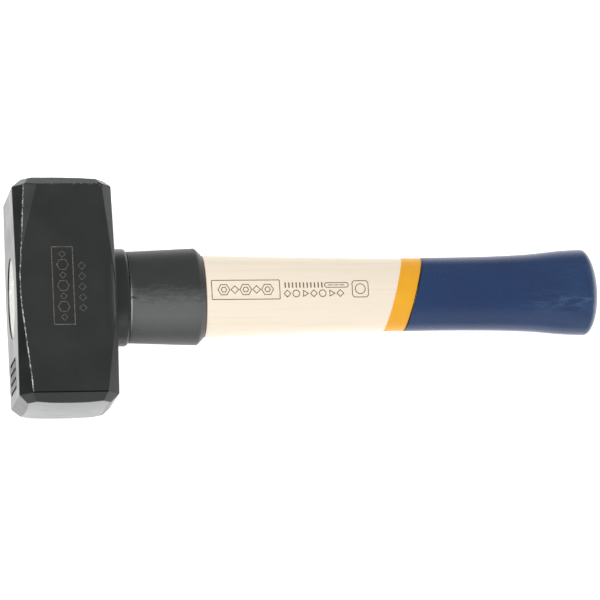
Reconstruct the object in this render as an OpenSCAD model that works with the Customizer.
// One-hand club hammer with a wedged hickory handle, a hand guard sleeve and a dipped grip.
// It lies on one cheek: +X runs along the handle to the butt, +Y along the head, +Z up.
// The origin is the middle of the resting cheek. Millimetres.

/* [Head] */
// Length of the head over its two striking faces
head_len = 100.6; // [97:0.1:104]
// Thickness of the head along the handle
head_w = 43; // [42:0.5:46]
// Height of the head from cheek to cheek
head_h = 43; // [42:0.5:46]
// Radius of the crown on each striking face
crown_r = 200; // [150:10:300]
// How far the far face's crown is off the middle, towards the top of the head
crown_off = 5; // [0:0.5:6]
// How far the end bevels run along the head
bevel_run = 4.7; // [4:0.1:5.5]
// How far the end bevels drop the cheeks
bevel_drop = 4.2; // [3.5:0.1:5]
// Corner cut of the striking face's octagon
face_corner = 3.3; // [2.5:0.1:4]
// Leg of the long bevels at the far end of the head
leg_far = 4.9; // [4:0.1:6]
// Leg of the long bevels at the near end of the head
leg_near = 5.6; // [4:0.1:6]
// Leg of the long bevels at mid-length on the eye side
leg_mid_eye = 1.65; // [1:0.05:2]
// Leg of the long bevels at mid-length on the handle side
leg_mid_boss = 0.7; // [0.5:0.1:1.5]
// Where the long bevels on the eye side start to widen towards the far end
widen_far_eye = 7; // [3:0.5:12]
// Where the long bevels on the eye side start to widen towards the near end
widen_near_eye = 5; // [3:0.5:12]
// Where the long bevels on the handle side start to widen towards the far end
widen_far_boss = 5; // [3:0.5:12]
// Where the long bevels on the handle side start to widen towards the near end
widen_near_boss = 11; // [3:0.5:12]
// Tilt of the hand-dressed facet on the upper cheek
dress_tilt = 4; // [2:0.5:5]
// Depth of the etched marks
mark_depth = 0.15; // [0.1:0.05:0.3]
// Width of the etched lines
mark_stroke = 0.4; // [0.3:0.05:0.5]

/* [Eye boss] */
// How far the boss stands out of the head
boss_out = 7; // [5:0.5:9]
// Half width of the boss across the handle
boss_ry = 21.4; // [20.9:0.1:21.9]
// Half thickness of the boss
boss_rz = 15.6; // [15:0.1:16.5]
// Rounding of the rim of the boss
boss_round = 1.8; // [1:0.1:2]

/* [Handle] */
// Overall length from the top of the head to the butt
total_len = 260; // [250:1:275]
// Half width of the butt across the hammer
butt_ry = 18.9; // [18.2:0.1:19.4]
// Half thickness of the butt
butt_rz = 13.6; // [13:0.1:14.2]
// Depth of the domed butt end
butt_dome = 6.2; // [5:0.1:8]
// How far the sawn end of the wood lies below the top of the head
end_recess = 0.6; // [0:0.1:1]

/* [Wedges] */
// Thickness of the wooden wedge at its top
wood_wedge_t = 4.4; // [3:0.1:5]
// How deep the wooden wedge goes
wood_wedge_deep = 30; // [22:1:34]
// Thickness of the steel wedge at its top
steel_wedge_t = 1.8; // [1.2:0.1:2.4]
// Width of the steel wedge
steel_wedge_w = 19; // [16:0.5:20]
// How deep the steel wedge goes
steel_wedge_deep = 22; // [16:1:26]
// Slant of the steel wedge across the eye
steel_wedge_slant = 10; // [0:1:20]
// Offset of the steel wedge from the middle of the eye
steel_wedge_off = 5; // [4:0.5:7]

/* [Sleeve] */
// Length of the sleeve along the handle
sleeve_len = 33; // [28:0.5:38]
// Half width of the sleeve where it meets the boss
sleeve_ry = 20.1; // [19.8:0.1:20.4]
// Half thickness of the sleeve where it meets the boss
sleeve_rz = 14.2; // [13.8:0.1:14.6]
// How much the sleeve flares towards its mouth
sleeve_flare = 1.35; // [0.5:0.05:2]
// Length of the bevel at the mouth
sleeve_bevel = 2.8; // [2:0.1:4]
// Wall left at the lip of the mouth
sleeve_lip = 0.5; // [0.4:0.1:1]

/* [Coats] */
// Thickness of the dipped grip coat
grip_t = 0.4; // [0.3:0.05:0.8]
// Thickness of the painted band
band_t = 0.15; // [0.1:0.05:0.25]
// Width of the painted band along the handle
band_w = 9; // [6:0.5:12]
// Length of the dipped grip coat from the butt
grip_len = 83; // [70:1:95]
// Slope of the dip lines across the handle
dip_slope = 0.28; // [0:0.01:0.35]

/* [Hidden] */
far = 400;
sides = 40;
mid_z = head_h / 2;
top_x = -head_w / 2;
boss_x = head_w / 2 + boss_out;
butt_x = top_x + total_len - grip_t;
mouth_x = boss_x + sleeve_len;
grip_x = butt_x - grip_len;
band_x = grip_x - band_w;
// The crown takes this much off the head at the rim of each striking face
face_half = head_w / 2 - bevel_drop;
crown_sag = crown_r - sqrt(crown_r * crown_r - face_half * face_half);
rim_y = head_len / 2 - crown_sag;
bevel_y = head_len / 2 - bevel_run;
// Legs of the corner bevels where they reach the rims of the striking faces
corner_leg = 2 * bevel_drop + face_corner;

// Half width and half thickness of the wood along the handle: the eye's waist is in the head
stations = [
    [top_x - 1, 17.6, 11.8],
    [0, 15.8, 10.6],
    [boss_x, 17.5, 12],
    [mouth_x, 18.1, 12.4],
    [top_x + 0.42 * total_len, 17.5, 12.2],
    [top_x + 0.55 * total_len, 16.65, 12],
    [top_x + 0.69 * total_len, 15.95, 11.8],
    [top_x + 0.80 * total_len, 16.1, 12],
    [top_x + 0.88 * total_len, 16.9, 12.5],
    [top_x + 0.94 * total_len, butt_ry - 0.5, butt_rz - 0.3],
    [butt_x, butt_ry + 0.2, butt_rz + 0.1]
];
grip_start = butt_x - butt_dome;
ring_count = 31;
ring_gap = (grip_start - stations[0][0]) / ring_count;
handle_x = [for (i = [0:ring_count]) stations[0][0] + i * ring_gap];
dome_turns = [15, 30, 45, 60, 75, 86];

function segment(x, i = 0) = i >= len(stations) - 2 || x < stations[i + 1][0] ? i : segment(x, i + 1);
function slope(i, c) =
    let (a = max(i - 1, 0), b = min(i + 1, len(stations) - 1))
    (stations[b][c] - stations[a][c]) / (stations[b][0] - stations[a][0]);
// Smooth curve through the stations: c is 1 for the half width, 2 for the half thickness
function profile(x, c) =
    let (i = segment(x), w = stations[i + 1][0] - stations[i][0], t = (x - stations[i][0]) / w)
    let (t2 = t * t, t3 = t2 * t)
    (2 * t3 - 3 * t2 + 1) * stations[i][c] + (t3 - 2 * t2 + t) * w * slope(i, c)
    + (3 * t2 - 2 * t3) * stations[i + 1][c] + (t3 - t2) * w * slope(i + 1, c);
function oval(x, ry, rz) = [for (i = [0:sides - 1])
    let (a = 360 * i / sides) [x, ry * cos(a), mid_z + rz * sin(a)]];
function wood_oval(x, grow) = oval(x, profile(x, 1) + grow, profile(x, 2) + grow);
function dome_oval(turn, grow) =
    oval(grip_start + (butt_dome + grow) * sin(turn),
         (profile(grip_start, 1) + grow) * cos(turn),
         (profile(grip_start, 2) + grow) * cos(turn));

// Places of the handle's rings that cover it from one x to another
function rings_over(x0, x1) = [for (x = handle_x) if (x > x0 - ring_gap && x < x1 + ring_gap) x];

// Skin through a list of rings of equal count
module loft(rings) {
    last = len(rings) - 1;
    walls = [for (r = [0:last - 1], i = [0:sides - 1])
        let (j = (i + 1) % sides, a = r * sides, b = a + sides)
        each [[a + i, b + i, a + j], [a + j, b + i, b + j]]];
    start_cap = [for (i = [0:sides - 1]) i];
    end_cap = [for (i = [sides - 1:-1:0]) last * sides + i];
    polyhedron(points = [for (r = rings) each r], faces = concat(walls, [start_cap, end_cap]));
}

// The handle's outside through the given places, grown by a coat's thickness, with or without the butt
module handle_skin(xs, grow, domed) {
    dome = [for (t = dome_turns) if (domed) dome_oval(t, grow)];
    loft(concat([for (x = xs) wood_oval(x, grow)], dome));
}

// The part of the handle's outside that the eye holds
module tenon_skin() {
    handle_skin(rings_over(top_x, boss_x), 0, false);
}

// Half-space beyond the plane through p with the outward normal n
module beyond(p, n) {
    translate(p)
        rotate([0, acos(n[2] / norm(n)), atan2(n[1], n[0])])
            translate([-far / 2, -far / 2, 0])
                cube(far);
}

// What the wood and the wedges leave free at the mouth of the eye
module over_top() {
    beyond([top_x + end_recess, 0, mid_z], [-1, 0, 0]);
}

// Long bevels along the head's four edges: even at mid-length, and widening towards each end
module long_bevels() {
    for (sx = [-1, 1], sz = [-1, 1]) {
        leg_mid = sx < 0 ? leg_mid_eye : leg_mid_boss;
        widen = sx < 0 ? [widen_near_eye, widen_far_eye] : [widen_near_boss, widen_far_boss];
        edge = [sx * (head_w / 2 - leg_mid), 0, mid_z + sz * head_h / 2];
        beyond(edge, [sx, 0, sz]);
        for (sy = [-1, 1]) {
            leg_end = sy > 0 ? leg_far : leg_near;
            start = sy > 0 ? widen[1] : widen[0];
            rise = (leg_end - leg_mid) / (bevel_y - start);
            beyond(edge + [0, sy * start, 0], [sx, sy * rise, sz]);
        }
    }
}

// Bevels round each striking face: four sides and the four corners of its octagon.
// The corners overlap the long bevels a little, so that no four faces meet in one point.
module end_bevels() {
    for (sy = [-1, 1]) {
        leg_end = sy > 0 ? leg_far : leg_near;
        run = rim_y - bevel_y;
        overlap = 0.4;
        for (sz = [-1, 1])
            beyond([0, sy * bevel_y, mid_z + sz * head_h / 2], [0, sy * bevel_drop, sz * run]);
        for (sx = [-1, 1])
            beyond([sx * head_w / 2, sy * bevel_y, mid_z], [sx * run, sy * bevel_drop, 0]);
        for (sx = [-1, 1], sz = [-1, 1])
            beyond([sx * (head_w / 2 - leg_end - overlap), sy * bevel_y, mid_z + sz * head_h / 2],
                   [sx, sy * (corner_leg - leg_end - overlap) / run, sz]);
    }
}

// Shallow facet dressed by hand beside the eye-side bevel of the upper cheek.
// Its inner edge starts and ends at a distance from the top of the head and a place along it.
module dressed_facet() {
    start = [10.3, 46];
    end = [2.9, 19];
    along = end - start;
    side = [along[1], -along[0]] / norm(along);
    beyond([top_x + start[0], start[1], head_h],
           [side[0] * sin(dress_tilt), side[1] * sin(dress_tilt), cos(dress_tilt)]);
}

// Crowned block that the bevels are cut from
module crowned_block() {
    intersection() {
        translate([top_x, -head_len / 2, 0])
            cube([head_w, head_len, head_h]);
        for (sy = [-1, 1])
            translate([sy > 0 ? -crown_off : 0, sy * (head_len / 2 - crown_r), mid_z])
                sphere(crown_r, $fn = 96);
    }
}

// Oval boss that lengthens the eye, with a small fillet at its root and a rounded rim
module boss() {
    fillet = 1;
    rim_turns = [for (a = [0:22.5:90]) a];
    rim = [for (a = rim_turns)
        let (in = boss_round * (1 - cos(a)))
        oval(boss_x - boss_round * (1 - sin(a)), boss_ry - in, boss_rz - in)];
    flare = [[-2, 1.4], [-0.7, 1.4], [0.4, 0.35], [1.2, 0]] * fillet;
    root = [for (f = flare) oval(head_w / 2 + f[0], boss_ry + f[1], boss_rz + f[1])];
    loft(concat(root, rim));
}

// The eye: it follows the tenon, and its mouth opens a little round the wood
module eye() {
    flare = 0.6;
    flare_deep = 1.6;
    ry = stations[0][1];
    rz = stations[0][2];
    tenon_skin();
    loft([oval(top_x - flare_deep, ry + 2 * flare, rz + 2 * flare),
          oval(top_x + flare_deep, ry - flare, rz - flare)]);
}

// Outline of a regular figure with n corners, drawn with one stroke
module figure(r, n) {
    difference() {
        circle(r, $fn = n);
        circle(r - mark_stroke, $fn = n);
    }
}

// Etched marks on the upper cheek: a long frame with plain figures, and a row of lozenges beside it
module cheek_marks() {
    frame = [9.4, 34.4];
    frame_at = [-1.5, 0.7];
    row_at = [6.7, 0.1];
    step = 4.6;
    hexagon_r = 2.7;
    square_r = 1.6;
    lozenge_r = 1.8;
    translate([0, 0, head_h - mark_depth])
        linear_extrude(2 * mark_depth) {
            translate(frame_at) {
                difference() {
                    square(frame, center = true);
                    square([frame[0] - 2 * mark_stroke, frame[1] - 2 * mark_stroke], center = true);
                }
                for (i = [-2:2:2])
                    translate([0, step * i])
                        figure(hexagon_r, 6);
                for (i = [-3:2:3])
                    translate([0, step * i])
                        figure(square_r, 4);
            }
            for (i = [-2:2])
                translate(row_at + [0, step * i])
                    figure(lozenge_r, 4);
        }
}

// Stamp on the head's top, near one face: a plain grid
module top_stamp() {
    bar = 1.5;
    size = [13.8, 19.4];
    bars = [4, 5];
    place = [top_x, -34, mid_z - 2];
    deep = 3 * mark_depth;
    for (i = [0:bars[0] - 1])
        translate(place + [-deep, i * (size[0] - bar) / (bars[0] - 1) - size[0] / 2, -size[1] / 2])
            cube([2 * deep, bar, size[1]]);
    for (i = [0:bars[1] - 1])
        translate(place + [-deep, -size[0] / 2, i * (size[1] - bar) / (bars[1] - 1) - size[1] / 2])
            cube([2 * deep, size[0], bar]);
}

// Forged head with the eye and its boss
module head() {
    color("#323534")
        difference() {
            union() {
                difference() {
                    crowned_block();
                    long_bevels();
                    end_bevels();
                    dressed_facet();
                }
                boss();
            }
            eye();
            cheek_marks();
            top_stamp();
        }
}

// Taper of the wooden wedge, driven along the eye's long axis
module wooden_wedge_shape() {
    tip = 0.8;
    translate([0, far / 2, mid_z])
        rotate([90, 0, 0])
            linear_extrude(far)
                polygon([[top_x - 1, -wood_wedge_t / 2], [top_x + wood_wedge_deep, -tip / 2],
                         [top_x + wood_wedge_deep, tip / 2], [top_x - 1, wood_wedge_t / 2]]);
}

// Taper of the steel wedge, driven slantwise across the wooden one
module steel_wedge_shape() {
    tip = 0.4;
    translate([0, steel_wedge_off, mid_z])
        rotate([steel_wedge_slant, 0, 0])
            translate([0, 0, -steel_wedge_w / 2])
                linear_extrude(steel_wedge_w)
                    polygon([[top_x - 1, -steel_wedge_t / 2], [top_x + steel_wedge_deep, -tip / 2],
                             [top_x + steel_wedge_deep, tip / 2], [top_x - 1, steel_wedge_t / 2]]);
}

// Hickory handle: its tenon fills the eye, with kerfs where the wedges went in
module handle() {
    color("#f6ebd6")
        difference() {
            handle_skin(handle_x, 0, true);
            over_top();
            wooden_wedge_shape();
            steel_wedge_shape();
        }
}

module wooden_wedge() {
    color("#e2cfa4")
        difference() {
            intersection() {
                tenon_skin();
                wooden_wedge_shape();
            }
            over_top();
            steel_wedge_shape();
        }
}

module steel_wedge() {
    color("#b8bab8")
        difference() {
            steel_wedge_shape();
            over_top();
        }
}

// Guard sleeve over the neck: it flares to a bevelled mouth and grips the wood
module handle_sleeve() {
    edge_x = mouth_x - sleeve_bevel;
    color("#454748")
        difference() {
            loft([oval(boss_x, sleeve_ry, sleeve_rz),
                  oval(edge_x, sleeve_ry + sleeve_flare, sleeve_rz + sleeve_flare / 3),
                  wood_oval(mouth_x, sleeve_lip)]);
            handle_skin(rings_over(boss_x, mouth_x), 0, false);
        }
}

// Shell round the wood from one slanting dip line to another, or to the butt
module coat(start_x, end_x, thickness) {
    reach = dip_slope * (butt_ry + 1);
    domed = end_x >= butt_x;
    xs = rings_over(start_x - reach, end_x + reach);
    difference() {
        handle_skin(xs, thickness, domed);
        handle_skin(xs, 0, domed);
        beyond([start_x, 0, mid_z], [-1, dip_slope, 0]);
        if (!domed)
            beyond([end_x, 0, mid_z], [1, -dip_slope, 0]);
    }
}

module band_coat() {
    color("#f9b233")
        coat(band_x, grip_x, band_t);
}

module grip_coat() {
    color("#2f4470")
        coat(grip_x, butt_x, grip_t);
}

head();
handle();
wooden_wedge();
steel_wedge();
handle_sleeve();
band_coat();
grip_coat();
